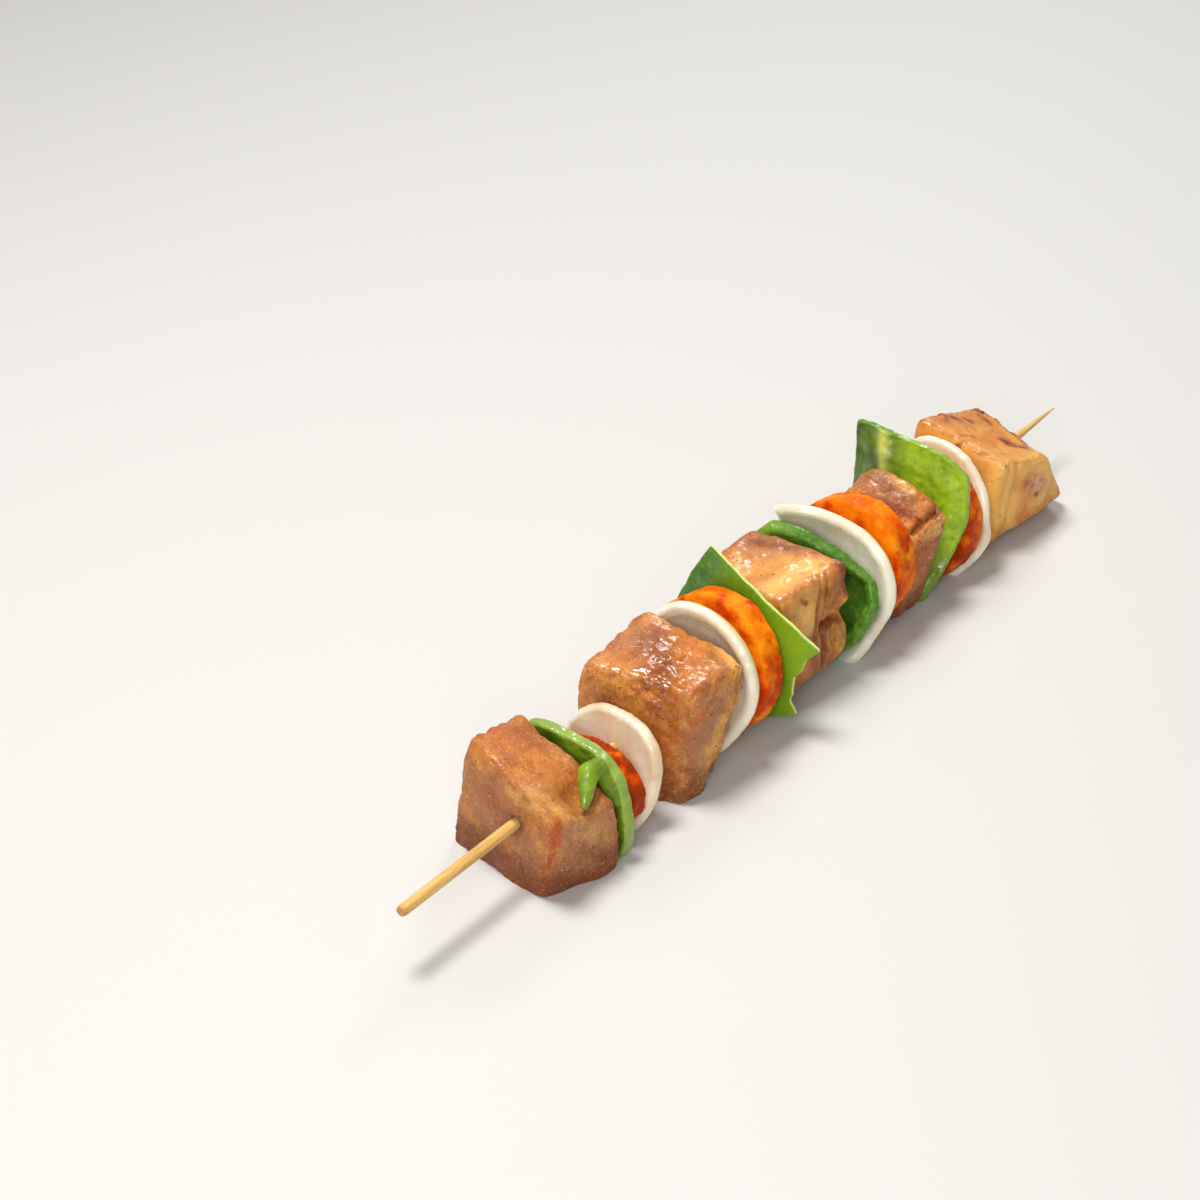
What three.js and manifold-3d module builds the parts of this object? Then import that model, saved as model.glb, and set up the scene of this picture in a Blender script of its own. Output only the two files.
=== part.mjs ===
// Pork kebab skewer: seventeen pieces threaded on a round bamboo stick, lying on its side.
// From the blunt end: pork, then pepper, carrot and onion, then pork again, five cubes of pork in all.
// +X runs along the stick to its point, +Z is up, and the skewer stands on z = 0. Millimetres.
import * as THREE from "three";
import { mergeVertices } from "three/addons/utils/BufferGeometryUtils.js";
import Module from "manifold-3d";

// Driving dimensions. Every piece is stated from the stick's axis at half its length: x along the stick,
// y to the left as seen from the blunt end, z up.
const STICK_LENGTH = 250;
const STICK_DIAMETER = 2.5;
const STICK_POINT = 26; // length of the sharpened end
const SHOULDER_LENGTH = 7.3; // the part of it that narrows slowly
const SHOULDER_DIAMETER = 2.15; // where the slow part ends
const POINT_DIAMETER = 0.5;
const CHAMFER = 0.3; // round the sawn end
const AXIS_HEIGHT = 15; // the stick's axis above the surface that the pork rests on
const CLEARANCE = 0.3; // between the stick and the wall of the hole in each piece
const REACH = 16; // from the stick to the rim, where the bowl of a petal and the curl of a pepper are stated

// Fineness of the solids.
const STICK_SIDES = 16;
const CHUNK_STEPS = 9; // squares along each edge of a cube of pork
const SPOKES = 28; // points round the outline of a slice, a petal or a piece of pepper
const BALL_SIDES = 12; // round each end of the pepper's prong
const WELD = 1e-3; // points closer than this are one

const FLOOR = -AXIS_HEIGHT;
const TAU = 2 * Math.PI;
const rad = THREE.MathUtils.degToRad;
const mix = THREE.MathUtils.lerp;

const solid = await Module();
solid.setup();

// ---------------------------------------------------------------- shared shapes

// Smooth lumps from about -1 to 1, the same for the same seed: a few plane waves whose directions are
// spread over a sphere.
const WAVES = 5;
const WAVE_TURN = 2.4; // radians round z from one wave to the next
const WAVE_START = 1.7; // radians that each one starts after the last
const WAVE_GAIN = 1.6; // the waves seldom peak together, so their mean is raised
function lumps(p, wavelength, seed) {
  let sum = 0;
  for (let k = 0; k < WAVES; k++) {
    const turn = WAVE_TURN * k + seed;
    const rise = 1 - (2 * k + 1) / WAVES;
    const flat = Math.sqrt(1 - rise * rise);
    const along = p.x * Math.cos(turn) * flat + p.y * Math.sin(turn) * flat + p.z * rise;
    sum += Math.sin((TAU / wavelength) * along + WAVE_START * seed * (k + 1));
  }
  return (WAVE_GAIN * sum) / WAVES;
}

function toManifold(geometry) {
  const bare = new THREE.BufferGeometry();
  bare.setAttribute("position", geometry.getAttribute("position"));
  bare.setIndex(geometry.index);
  const merged = mergeVertices(bare, WELD);
  return new solid.Manifold(
    new solid.Mesh({
      numProp: 3,
      vertProperties: merged.attributes.position.array,
      triVerts: new Uint32Array(merged.index.array),
    }),
  );
}

function toGeometry(manifold) {
  const mesh = manifold.getMesh();
  const geometry = new THREE.BufferGeometry();
  geometry.setAttribute("position", new THREE.BufferAttribute(mesh.vertProperties, 3));
  geometry.setIndex(new THREE.BufferAttribute(mesh.triVerts, 1));
  geometry.computeVertexNormals();
  return geometry;
}

// Flat where the piece sits on the floor, and open along x where the stick goes through.
function threadable(manifold) {
  const reach = 80;
  const hole = new THREE.CylinderGeometry(
    STICK_DIAMETER / 2 + CLEARANCE,
    STICK_DIAMETER / 2 + CLEARANCE,
    reach,
    STICK_SIDES,
  );
  hole.rotateZ(Math.PI / 2);
  return toGeometry(manifold.trimByPlane([0, 0, 1], FLOOR).subtract(toManifold(hole)));
}

// Turns an upright sheet to its place: its top leans away from the blunt end, its right edge swings forward.
function placing(lean, swing) {
  const swung = new THREE.Matrix4().makeRotationZ(rad(-swing));
  return swung.multiply(new THREE.Matrix4().makeRotationY(rad(lean)));
}

// Evenly spaced points on a closed curve through the corners, tight near 0 and rounded at 0.5. They run
// clockwise as seen from the blunt end, whichever way the corners are listed.
function outlinePoints(corners, roundness) {
  const clockwise = THREE.ShapeUtils.isClockWise(corners.map(([y, z]) => new THREE.Vector2(y, z)));
  const knots = corners.map(([y, z]) => new THREE.Vector3(0, y, z));
  if (!clockwise) knots.reverse();
  const curve = new THREE.CatmullRomCurve3(knots, true, "catmullrom", roundness);
  return curve.getSpacedPoints(SPOKES).slice(0, SPOKES);
}

// A closed solid round the stick. A profile of [reach, side] pairs is carried round the outline: reach runs
// from the stick, 0, to the outline, 1, and side from the front face, -1, to the back face, 1.
function sheet({ corners, roundness, profile, thickness, depth, lean, swing }) {
  const turn = placing(lean, swing);
  const outline = outlinePoints(corners, roundness);
  const points = [];
  const step = 0.05;
  const surface = (y, z) => new THREE.Vector3(depth(y, z), y, z);
  const put = (y, z, side) => {
    const alongY = surface(y + step, z).sub(surface(y - step, z));
    const alongZ = surface(y, z + step).sub(surface(y, z - step));
    const normal = alongY.cross(alongZ).normalize();
    const spot = surface(y, z).addScaledVector(normal, (side * thickness(y, z, side)) / 2);
    points.push(...spot.applyMatrix4(turn).toArray());
  };
  put(0, 0, -1);
  for (const [reach, side] of profile) {
    for (const { y, z } of outline) put(y * reach, z * reach, side);
  }
  put(0, 0, 1);
  const index = [];
  const ring = (i, j) => 1 + i * SPOKES + (j % SPOKES);
  const rings = profile.length;
  const last = 1 + rings * SPOKES;
  for (let j = 0; j < SPOKES; j++) {
    index.push(0, ring(0, j), ring(0, j + 1));
    for (let i = 0; i + 1 < rings; i++) {
      index.push(ring(i, j + 1), ring(i, j), ring(i + 1, j));
      index.push(ring(i, j + 1), ring(i + 1, j), ring(i + 1, j + 1));
    }
    index.push(last, ring(rings - 1, j + 1), ring(rings - 1, j));
  }
  const geometry = new THREE.BufferGeometry();
  geometry.setAttribute("position", new THREE.Float32BufferAttribute(points, 3));
  geometry.setIndex(index);
  return toManifold(geometry);
}

// ---------------------------------------------------------------- the bamboo stick

function stick() {
  const radius = STICK_DIAMETER / 2;
  const half = STICK_LENGTH / 2;
  const profile = [
    new THREE.Vector2(0, -half),
    new THREE.Vector2(radius - CHAMFER, -half),
    new THREE.Vector2(radius, -half + CHAMFER),
    new THREE.Vector2(radius, half - STICK_POINT),
    new THREE.Vector2(SHOULDER_DIAMETER / 2, half - STICK_POINT + SHOULDER_LENGTH),
    new THREE.Vector2(POINT_DIAMETER / 2, half - POINT_DIAMETER / 2),
    new THREE.Vector2(0, half),
  ];
  const geometry = new THREE.LatheGeometry(profile, STICK_SIDES);
  geometry.rotateZ(-Math.PI / 2);
  return toGeometry(toManifold(geometry));
}

// ---------------------------------------------------------------- cubes of pork

// Corners of each cube as [x, y, z]: right before left, and the bottom one before the top one. Squareness
// rounds the edges, and a dent is [x, y, z, width, depth], with a negative depth for a swelling.
const PORK = [
  {
    at: -82,
    front: [[-91.8, -7.5, -16.5], [-92, -12, 6.5], [-88.5, 24, -16.5], [-90, 11, 17]],
    back: [[-73.6, -13, -16.5], [-73, -13.5, 1.5], [-73.2, 18, -16], [-72.4, 13, 13]],
    squareness: 14,
    dents: [
      [-81, -9, 5, 5, 2],
      [-81, -12, -13, 7, -1.8],
    ],
    seed: 1,
  },
  {
    at: -42,
    front: [[-50, -12.5, -16.5], [-47, -14.2, 14.5], [-56.2, 13, -16.5], [-55.2, 13, 14]],
    back: [[-43, -13, -16.5], [-29, -14.5, 12.5], [-35, 12, -16.5], [-30, 13, 17.5]],
    squareness: 9,
    dents: [[-31, -12, 3, 7, -2]],
    seed: 2,
  },
  {
    at: 2,
    front: [[-11.2, -12, -9], [-9.6, -9, 15], [-11.2, 12, -15], [-9.6, 13, 15]],
    back: [[12.6, -12, -10], [12.6, -12, 15.5], [12.6, 12, -16], [11.6, 15, 15]],
    squareness: 11,
    dents: [
      [0, -12, 5, 8, -1.5],
      [8, -14, -2, 4, 3],
      [9, -13, 6.5, 3.5, -1.5],
    ],
    seed: 3,
  },
  {
    at: 44,
    front: [[34.6, -11.5, -14], [38.4, -14, 9], [34.6, 13, -13], [39.8, 10, 14]],
    back: [[45.4, -10.5, -16.5], [53, -14.5, 9.5], [46, 12, -15], [54, 8, 14.5]],
    squareness: 7,
    dents: [
      [44, -15, 3, 4, 2],
      [47, -2, 15, 8, -2.5],
    ],
    seed: 4,
  },
  {
    at: 88,
    front: [[73.6, -12, -13], [76.9, -14, 10.5], [71.4, 14, -16.5], [76.9, 12, 15.5]],
    back: [[107, -15, -14], [97.5, -15, 3.5], [111, 13, -16.5], [103, 10, 7.5]],
    squareness: 12,
    dents: [],
    seed: 5,
  },
];

// Height and wavelength of the lumps on a cube's faces: broad ones, then the crags on top of them.
const PORK_LUMPS = [
  [0.6, 17],
  [0.35, 8.5],
];

function porkCube({ at, front, back, squareness, dents, seed }) {
  const box = new THREE.BoxGeometry(2, 2, 2, CHUNK_STEPS, CHUNK_STEPS, CHUNK_STEPS);
  box.deleteAttribute("normal");
  box.deleteAttribute("uv");
  const geometry = mergeVertices(box);
  const position = geometry.getAttribute("position");
  const p = new THREE.Vector3();
  const blend = ([rightBottom, rightTop, leftBottom, leftTop], axis, leftward, upward) =>
    mix(
      mix(rightBottom[axis], rightTop[axis], upward),
      mix(leftBottom[axis], leftTop[axis], upward),
      leftward,
    );
  for (let i = 0; i < position.count; i++) {
    p.fromBufferAttribute(position, i);
    const size = Math.abs(p.x) ** squareness + Math.abs(p.y) ** squareness + Math.abs(p.z) ** squareness;
    p.divideScalar(size ** (1 / squareness));
    const outward = p.clone().normalize();
    const [backward, leftward, upward] = p.toArray().map((t) => (t + 1) / 2);
    const spot = [0, 1, 2].map((axis) =>
      mix(blend(front, axis, leftward, upward), blend(back, axis, leftward, upward), backward),
    );
    p.fromArray(spot);
    for (const [x, y, z, width, deep] of dents) {
      const near = Math.exp(-p.distanceToSquared(new THREE.Vector3(x, y, z)) / (width * width));
      p.addScaledVector(outward, -deep * near);
    }
    const lift = PORK_LUMPS.reduce((sum, [height, length]) => sum + height * lumps(p, length, seed), 0);
    p.addScaledVector(outward, lift);
    position.setXYZ(i, p.x - at, p.y, p.z);
  }
  return toManifold(geometry);
}

// ---------------------------------------------------------------- slices of carrot

const CARROT_PROFILE = [
  [0.5, -1],
  [0.93, -1],
  [1, -0.72],
  [1, 0.72],
  [0.94, 1],
  [0.5, 1],
];

const CARROTS = [
  { at: -63.8, thickness: 4.6, radius: 11.2, squash: 0.88, flats: 9, middle: [1, -5], lean: 8, swing: 0 },
  { at: -20, thickness: 6.6, radius: 16, squash: 1.02, flats: 10, middle: [0.8, 1], lean: 9.7, swing: 3 },
  { at: 31.4, thickness: 7.8, radius: 15.3, squash: 1, flats: 8, middle: [0, 1.8], lean: 10, swing: -3 },
  { at: 63.3, thickness: 6.4, radius: 15, squash: 1, flats: 9, middle: [0, -2], lean: 16, swing: 0 },
];

// A peeled carrot keeps the flats of the peeler, so its outline is a rounded polygon.
function carrotSlice({ thickness, radius, squash, flats, middle, lean, swing }) {
  const corners = [];
  for (let k = 0; k < flats; k++) {
    const angle = (TAU * k) / flats;
    corners.push([middle[0] + radius * Math.cos(angle), middle[1] + radius * squash * Math.sin(angle)]);
  }
  return sheet({
    corners,
    roundness: 0.4,
    profile: CARROT_PROFILE,
    thickness: () => thickness,
    depth: () => 0,
    lean,
    swing,
  });
}

// ---------------------------------------------------------------- petals of onion

const ONION_PROFILE = [
  [0.4, -1],
  [0.75, -1],
  [0.96, -0.9],
  [1, 0],
  [0.96, 0.9],
  [0.75, 1],
  [0.4, 1],
];

// Outlines as seen along the stick from the blunt end, and how far the rim stands forward of the middle.
const ONIONS = [
  {
    at: -56.5,
    corners: [
      [-12, -2], [-10.6, 3], [-6.7, 6.6], [-1, 8], [6, 7.5],
      [12, 2], [12, -9], [4, -15.5], [-7, -17], [-11.6, -10],
    ],
    thickness: 3,
    bowl: 2.8,
    lean: 11,
    swing: 0,
  },
  {
    at: -26,
    corners: [
      [-16.2, 3], [-14.5, 9.5], [-9.5, 15.5], [-2, 18.5], [6, 17],
      [14, 9], [15, -4], [7, -14], [-6, -15.5], [-13.4, -6.3],
    ],
    thickness: 3,
    bowl: 4.5,
    lean: 14,
    swing: 0,
  },
  {
    at: 25,
    corners: [
      [-16.4, 1], [-14.6, 9], [-8, 15], [1, 17.3], [13.6, 16.2],
      [16, 3], [12, -10], [2, -17], [-9, -17.3], [-14, -8],
    ],
    thickness: 3,
    bowl: 3,
    lean: 10,
    swing: -6,
  },
  {
    at: 71.5,
    corners: [
      [-14, -0.5], [-11.7, 5], [-5, 11], [2, 13], [9.5, 11.5],
      [14, 3], [11, -10], [1, -16.5], [-9.5, -17.5], [-16, -7],
    ],
    thickness: 2.6,
    bowl: 1.6,
    lean: 16,
    swing: 3,
  },
];

function onionPetal({ corners, thickness, bowl, lean, swing }) {
  return sheet({
    corners,
    roundness: 0.45,
    profile: ONION_PROFILE,
    thickness: () => thickness,
    depth: (y, z) => -bowl * (Math.hypot(y, z) / REACH) ** 4,
    lean,
    swing,
  });
}

// ---------------------------------------------------------------- pieces of green pepper

const PEPPER_PROFILE = [
  [0.35, -1],
  [0.7, -1],
  [0.97, -1],
  [1, -0.7],
  [1, 0.8],
  [0.97, 1],
  [0.7, 1],
  [0.35, 1],
];

// Outlines as for the onion. Curl is how far the rim stands forward, negative where the skin faces the
// blunt end, and the wall bends about a line turned by bend from upright. A rib of paler flesh stands on
// the inside along the line from one [y, z] to another.
const PEPPERS = [
  {
    at: -69.3,
    corners: [
      [-5.5, 8], [-11, 4.4], [-13.7, -2], [-14.6, -9], [-13, -14],
      [-9, -16], [6, -14], [15, -6], [13, 8], [3, 9],
    ],
    thickness: 3,
    curl: 1.5,
    bend: 0,
    lean: 3,
    swing: 0,
    prong: { from: [-1, -5.5, 7.5], to: [-12.5, -10.4, 4.6], radius: [2.6, 1.5] },
  },
  {
    at: -13.8,
    corners: [
      [9, 23], [-20.5, 9], [-18, 2.2], [-15, -4], [-17, -8.5],
      [-10, -12], [3, -13], [17, 6],
    ],
    thickness: 3,
    curl: -1,
    bend: 20,
    lean: 8,
    swing: 0,
  },
  {
    at: 18.2,
    corners: [
      [15, 9.5], [13, 15.3], [6.5, 17], [-6.5, 12.8], [-15, 7.6],
      [-16, 1.5], [-12.7, -8], [-6, -15.2], [7, -15.5], [14, -6],
    ],
    thickness: 3.8,
    curl: 3.5,
    bend: 40,
    lean: 12,
    swing: -6,
  },
  {
    at: 57.3,
    corners: [
      [17, 19.3], [3.5, 18.6], [-6.2, 17.5], [-12.6, 14], [-14, 3],
      [-12, -8.5], [-9.5, -17], [6, -16.5], [17, -3],
    ],
    thickness: 3.4,
    curl: 3.5,
    bend: 80,
    lean: 20,
    swing: 0,
    rib: { from: [12, 19], to: [7, 2], width: 3, height: 1.6 },
  },
];

// The shoulder of the first piece curls forward as a prong that rests in the top of the first cube.
function shoulder({ from, to, radius }, margin) {
  const ball = (spot, size) =>
    toManifold(new THREE.SphereGeometry(size + margin, BALL_SIDES, BALL_SIDES / 2)).translate(spot);
  return solid.Manifold.hull([ball(from, radius[0]), ball(to, radius[1])]);
}

function pepperPiece({ corners, thickness, curl, bend, lean, swing, prong, rib }) {
  const across = [Math.cos(rad(bend)), Math.sin(rad(bend))];
  const ridge = (y, z) => {
    if (!rib) return 0;
    const line = new THREE.Line3(new THREE.Vector3(...rib.from, 0), new THREE.Vector3(...rib.to, 0));
    const spot = new THREE.Vector3(y, z, 0);
    const gap = line.closestPointToPoint(spot, true, new THREE.Vector3()).distanceTo(spot);
    return rib.height * Math.exp(-((gap / rib.width) ** 2));
  };
  const wall = sheet({
    corners,
    roundness: 0.12,
    profile: PEPPER_PROFILE,
    thickness: (y, z, side) => thickness + (side < 0 ? 2 * ridge(y, z) : 0),
    depth: (y, z) => (-curl * (y * across[0] + z * across[1]) ** 2) / REACH ** 2,
    lean,
    swing,
  });
  return prong ? wall.add(shoulder(prong, 0)) : wall;
}

// ---------------------------------------------------------------- assembly

const looks = {
  pork: new THREE.MeshStandardMaterial({ color: 0xb9793f, roughness: 0.5, metalness: 0 }),
  carrot: new THREE.MeshStandardMaterial({ color: 0xf07018, roughness: 0.45, metalness: 0 }),
  onion: new THREE.MeshStandardMaterial({ color: 0xe6e2cf, roughness: 0.35, metalness: 0 }),
  pepper: new THREE.MeshStandardMaterial({ color: 0x4f8f2a, roughness: 0.35, metalness: 0 }),
  bamboo: new THREE.MeshStandardMaterial({ color: 0xe0b468, roughness: 0.6, metalness: 0 }),
};

const threaded = new THREE.Group();
function add(name, geometry, look, at) {
  const mesh = new THREE.Mesh(geometry, looks[look]);
  mesh.name = name;
  mesh.position.x = at;
  threaded.add(mesh);
}

add("stick", stick(), "bamboo", 0);
const kinds = [
  ["pork", PORK, porkCube],
  ["carrot", CARROTS, carrotSlice],
  ["onion", ONIONS, onionPetal],
  ["pepper", PEPPERS, pepperPiece],
];
const pressed = shoulder(PEPPERS[0].prong, CLEARANCE).translate([PEPPERS[0].at - PORK[0].at, 0, 0]);
for (const [kind, rows, make] of kinds) {
  rows.forEach((row, i) => {
    const whole = make(row);
    const shaped = row === PORK[0] ? whole.subtract(pressed) : whole;
    add(`${kind}_${i + 1}`, threadable(shaped), kind, row.at);
  });
}

// The part's origin is the middle of its footprint, on the surface that it rests on.
const footprint = new THREE.Box3().setFromObject(threaded);
threaded.position.set(
  -(footprint.min.x + footprint.max.x) / 2,
  -(footprint.min.y + footprint.max.y) / 2,
  -footprint.min.z,
);

const skewer = new THREE.Group();
skewer.add(threaded);
export default skewer;
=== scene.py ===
import itertools
import math
import bpy
import numpy as np
from mathutils import Matrix, Vector


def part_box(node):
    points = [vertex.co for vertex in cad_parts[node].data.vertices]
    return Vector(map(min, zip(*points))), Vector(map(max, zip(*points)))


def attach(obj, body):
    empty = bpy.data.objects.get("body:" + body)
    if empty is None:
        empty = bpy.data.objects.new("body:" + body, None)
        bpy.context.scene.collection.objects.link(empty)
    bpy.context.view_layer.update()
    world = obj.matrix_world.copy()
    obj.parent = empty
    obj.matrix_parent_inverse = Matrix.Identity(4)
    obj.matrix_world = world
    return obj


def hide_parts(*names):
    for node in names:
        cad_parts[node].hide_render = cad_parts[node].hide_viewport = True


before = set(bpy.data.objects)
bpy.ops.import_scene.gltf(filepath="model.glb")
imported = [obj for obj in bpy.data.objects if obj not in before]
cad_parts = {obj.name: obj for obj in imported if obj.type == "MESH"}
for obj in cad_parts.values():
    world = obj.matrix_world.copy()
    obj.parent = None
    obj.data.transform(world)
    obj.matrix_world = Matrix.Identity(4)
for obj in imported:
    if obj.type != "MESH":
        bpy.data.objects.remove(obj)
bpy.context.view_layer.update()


# ---- the bamboo stick
# A round bamboo skewer, split from the cane, turned to 2.5 mm, sawn square at the blunt end and ground to a
# point. Its fibres run the whole length. It holds every other piece by friction.
STICK_DIAMETER = 2.5
POINT_LENGTH = 26.0
SHOULDER = 0.72  # the share of the point after which it tapers faster
SAWN_LENGTH = 1.5  # how far the blunt end is darkened
MM = 0.001

stick_low, stick_high = (np.array(corner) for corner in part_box("stick"))
AXIS = (stick_low + stick_high) / 2  # the stick's axis at half its length
STICK_LENGTH = (stick_high - stick_low)[0] / MM


def node(kind, inputs, tree=None, **settings):
    """The outputs of a new node, whose inputs are plain values or outputs of other nodes in its tree."""
    tree = tree or next(v for v in inputs.values() if isinstance(v, bpy.types.NodeSocket)).id_data
    made = tree.nodes.new(kind)
    for name, value in settings.items():
        setattr(made, name, value)
    for key, value in inputs.items():
        if isinstance(value, bpy.types.NodeSocket):
            tree.links.new(value, made.inputs[key])
        else:
            made.inputs[key].default_value = value
    return made.outputs


def maths(operation, *values):
    return node("ShaderNodeMath", dict(enumerate(values)), operation=operation)[0]


def times(first, second):
    return maths("MULTIPLY", first, second)


def swayed(value, pattern, amount):
    """The value moved up and down by a pattern that runs from 0 to 1."""
    return maths("MULTIPLY_ADD", maths("SUBTRACT", pattern, 0.5), amount, value)


def between(value, low, high, start=0.0, end=1.0, smooth=True):
    """Value carried from low..high to start..end, and held there."""
    inputs = {0: value, 1: low, 2: high, 3: start, 4: end}
    kind = "SMOOTHSTEP" if smooth else "LINEAR"
    return node("ShaderNodeMapRange", inputs, interpolation_type=kind)[0]


def linear(colour):
    """A colour given as it looks on a screen, from 0 to 255, turned to Blender's linear one."""
    if isinstance(colour, bpy.types.NodeSocket):
        return colour
    shares = [c / 255 for c in colour]
    return tuple(s / 12.92 if s < 0.04045 else ((s + 0.055) / 1.055) ** 2.4 for s in shares) + (1.0,)


def blended(amount, first, second):
    """The second colour laid over the first one by the amount."""
    inputs = {0: amount, 6: linear(first), 7: linear(second)}
    return node("ShaderNodeMix", inputs, data_type="RGBA")[2]


def streaked(colour, other, pattern, low, high, strength):
    """The other colour shows, with that strength, where the pattern rises from low to high."""
    return blended(between(pattern, low, high, 0.0, strength), colour, other)


def cloud(spot, size, detail=3.0, roughness=0.55):
    """Noise from 0 to 1 with features of about that size."""
    scale = maths("DIVIDE", 1.0, size) if isinstance(size, bpy.types.NodeSocket) else 1 / size
    inputs = {"Vector": spot, "Scale": scale, "Detail": detail, "Roughness": roughness}
    return node("ShaderNodeTexNoise", inputs)[0]


def named_sockets(tree, inputs, outputs):
    for direction, sockets in (("INPUT", inputs), ("OUTPUT", outputs)):
        for name, kind, *value in sockets:
            made = tree.interface.new_socket(name, in_out=direction, socket_type=f"NodeSocket{kind}")
            if value:
                made.default_value = value[0]


def geometry_group(name, inputs):
    tree = bpy.data.node_groups.new(name, "GeometryNodeTree")
    named_sockets(tree, [("Geometry", "Geometry"), *inputs, ("Material", "Material")],
                  [("Geometry", "Geometry")])
    tree.is_modifier = True
    return tree, tree.nodes.new("NodeGroupInput").outputs


def close_group(tree, geometry, material):
    """Ends a geometry tree with real meshes that wear the material."""
    real = node("GeometryNodeRealizeInstances", {0: geometry})[0]
    worn = node("GeometryNodeSetMaterial", {"Geometry": real, "Material": material})[0]
    tree.links.new(worn, tree.nodes.new("NodeGroupOutput").inputs[0])


def run_modifiers(piece):
    """Turns what the modifiers make into the piece's own plain mesh."""
    graph = bpy.context.evaluated_depsgraph_get()
    mesh = bpy.data.meshes.new_from_object(
        piece.evaluated_get(graph), preserve_all_data_layers=True, depsgraph=graph)
    piece.modifiers.clear()
    piece.data = mesh


def grow(name, tree, material, base=None):
    """A new piece made by a geometry tree, at its own input values, in this material."""
    piece = bpy.data.objects.new(name, base or bpy.data.meshes.new(name))
    bpy.context.collection.objects.link(piece)
    modifier = piece.modifiers.new(name, "NODES")
    modifier.node_group = tree
    modifier[tree.interface.items_tree["Material"].identifier] = material
    run_modifiers(piece)
    return piece


def moist_material(name, **constants):
    """A material whose tree holds a Principled shader, and the mesh's place in millimetres."""
    material = bpy.data.materials.new(name)
    material.use_nodes = True
    tree = material.node_tree
    shader = tree.nodes["Principled BSDF"]
    for socket, value in constants.items():
        shader.inputs[socket.replace("_", " ")].default_value = value
    spot = node("ShaderNodeTexCoord", {}, tree)["Object"]
    spot_mm = node("ShaderNodeVectorMath", {0: spot, 3: 1 / MM}, operation="SCALE")[0]
    return material, tree, shader.inputs, spot_mm


def stretched(spot, scale):
    return node("ShaderNodeMapping", {"Vector": spot, "Scale": scale})[0]


def bumped(tree, sockets, height, millimetres, strength=1.0):
    inputs = {"Strength": strength, "Distance": millimetres * MM, "Height": height}
    tree.links.new(node("ShaderNodeBump", inputs)[0], sockets["Normal"])


bamboo, tree, sockets, spot = moist_material("Bamboo", Roughness=0.52, IOR=1.45)
fibre = cloud(stretched(spot, (0.03, 1, 1)), 0.32, detail=4, roughness=0.65)
vessel = cloud(stretched(spot, (0.05, 1, 1)), 0.22, detail=1)
straw = blended(between(fibre, 0.3, 0.7), (214, 160, 84), (240, 200, 122))
straw = streaked(straw, (160, 106, 50), vessel, 0.62, 0.72, 0.45)
along = node("ShaderNodeSeparateXYZ", {0: spot})[0]
sawn = between(along, -STICK_LENGTH / 2, -STICK_LENGTH / 2 + SAWN_LENGTH, 0.5, 0.0)
scorch = between(cloud(spot, 14, detail=2), 0.5, 0.75, 0.0, 0.25)
straw = blended(maths("MAXIMUM", sawn, scorch), straw, (176, 118, 58))
tree.links.new(straw, sockets["Base Color"])
bumped(tree, sockets, fibre, 0.12, 0.8)

tree, given = geometry_group("Bamboo stick", [
    ("Length", "Float", STICK_LENGTH), ("Diameter", "Float", STICK_DIAMETER),
    ("Point", "Float", POINT_LENGTH), ("Sides", "Int", 40), ("Steps", "Int", 420),
    ("Grain depth", "Float", 0.06)])
rod = node("GeometryNodeMeshCylinder", {
    "Vertices": given["Sides"], "Side Segments": given["Steps"], "Fill Segments": 6, "Radius": 1.0,
    "Depth": 1.0}, fill_type="TRIANGLE_FAN")[0]
place = node("ShaderNodeSeparateXYZ", {0: node("GeometryNodeInputPosition", {}, tree)[0]})
half = times(given["Length"], 0.5)
along = times(place[2], given["Length"])
# The point tapers slowly down to its shoulder and fast from there on, and the sawn end has a chamfer.
share = maths("DIVIDE", maths("SUBTRACT", half, along), given["Point"])
slow = between(share, SHOULDER, 1.0, 0.86, 1.0)
fast = between(share, 0.0, SHOULDER, 0.16, 1.0, smooth=False)
chamfer = between(maths("ADD", half, along), 0.0, 0.5, 0.84, 1.0)
radius = times(times(slow, fast), chamfer)
radius = times(radius, times(given["Diameter"], 0.5))
grain_spot = node("ShaderNodeCombineXYZ", {
    0: times(along, 0.035), 1: times(place[0], 2.6), 2: times(place[1], 2.6)})[0]
grain = cloud(grain_spot, 1, roughness=0.5)
radius = swayed(radius, grain, given["Grain depth"])
turned = node("ShaderNodeCombineXYZ", {
    0: along, 1: times(place[0], radius), 2: times(place[1], radius)})[0]
laid = node("ShaderNodeVectorMath", {0: turned, 1: (MM, MM, MM), 2: tuple(AXIS)},
            operation="MULTIPLY_ADD")[0]
rod = node("GeometryNodeSetPosition", {"Geometry": rod, "Position": laid})[0]
close_group(tree, rod, given["Material"])

stick = grow("bamboo_stick", tree, bamboo)
stick.data.shade_smooth()
stick.data.set_sharp_from_angle(angle=math.radians(50))
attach(stick, "root")
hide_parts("stick")


# ---- cubes of pork
# Five hand-cut cubes of lean pork, 25 to 30 mm, marinated and grilled: pinkish-tan cut faces with the
# muscle's bundles showing, tops glazed orange-brown, edges seared, and painted shade on their lower faces
# and in their creases. Each is pushed on to the stick.
CUBE_STEPS = 100
LUMPS = ((0.6, 17), (0.35, 8.5))  # their height and length
BUNDLE, STRAND, PORE, FIBRE = 3.4, 1.5, 0.9, 0.7  # the meat's patterns, by their size across
STROKE_REACH = 3  # up to this far above or below the surface, a stroke marks it almost in full
HOLE_DIAMETER = STICK_DIAMETER * 1.04
CUTTER_BOX = (0.3, 0.1, 0.02)  # in metres, longer and wider than the kebab


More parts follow.
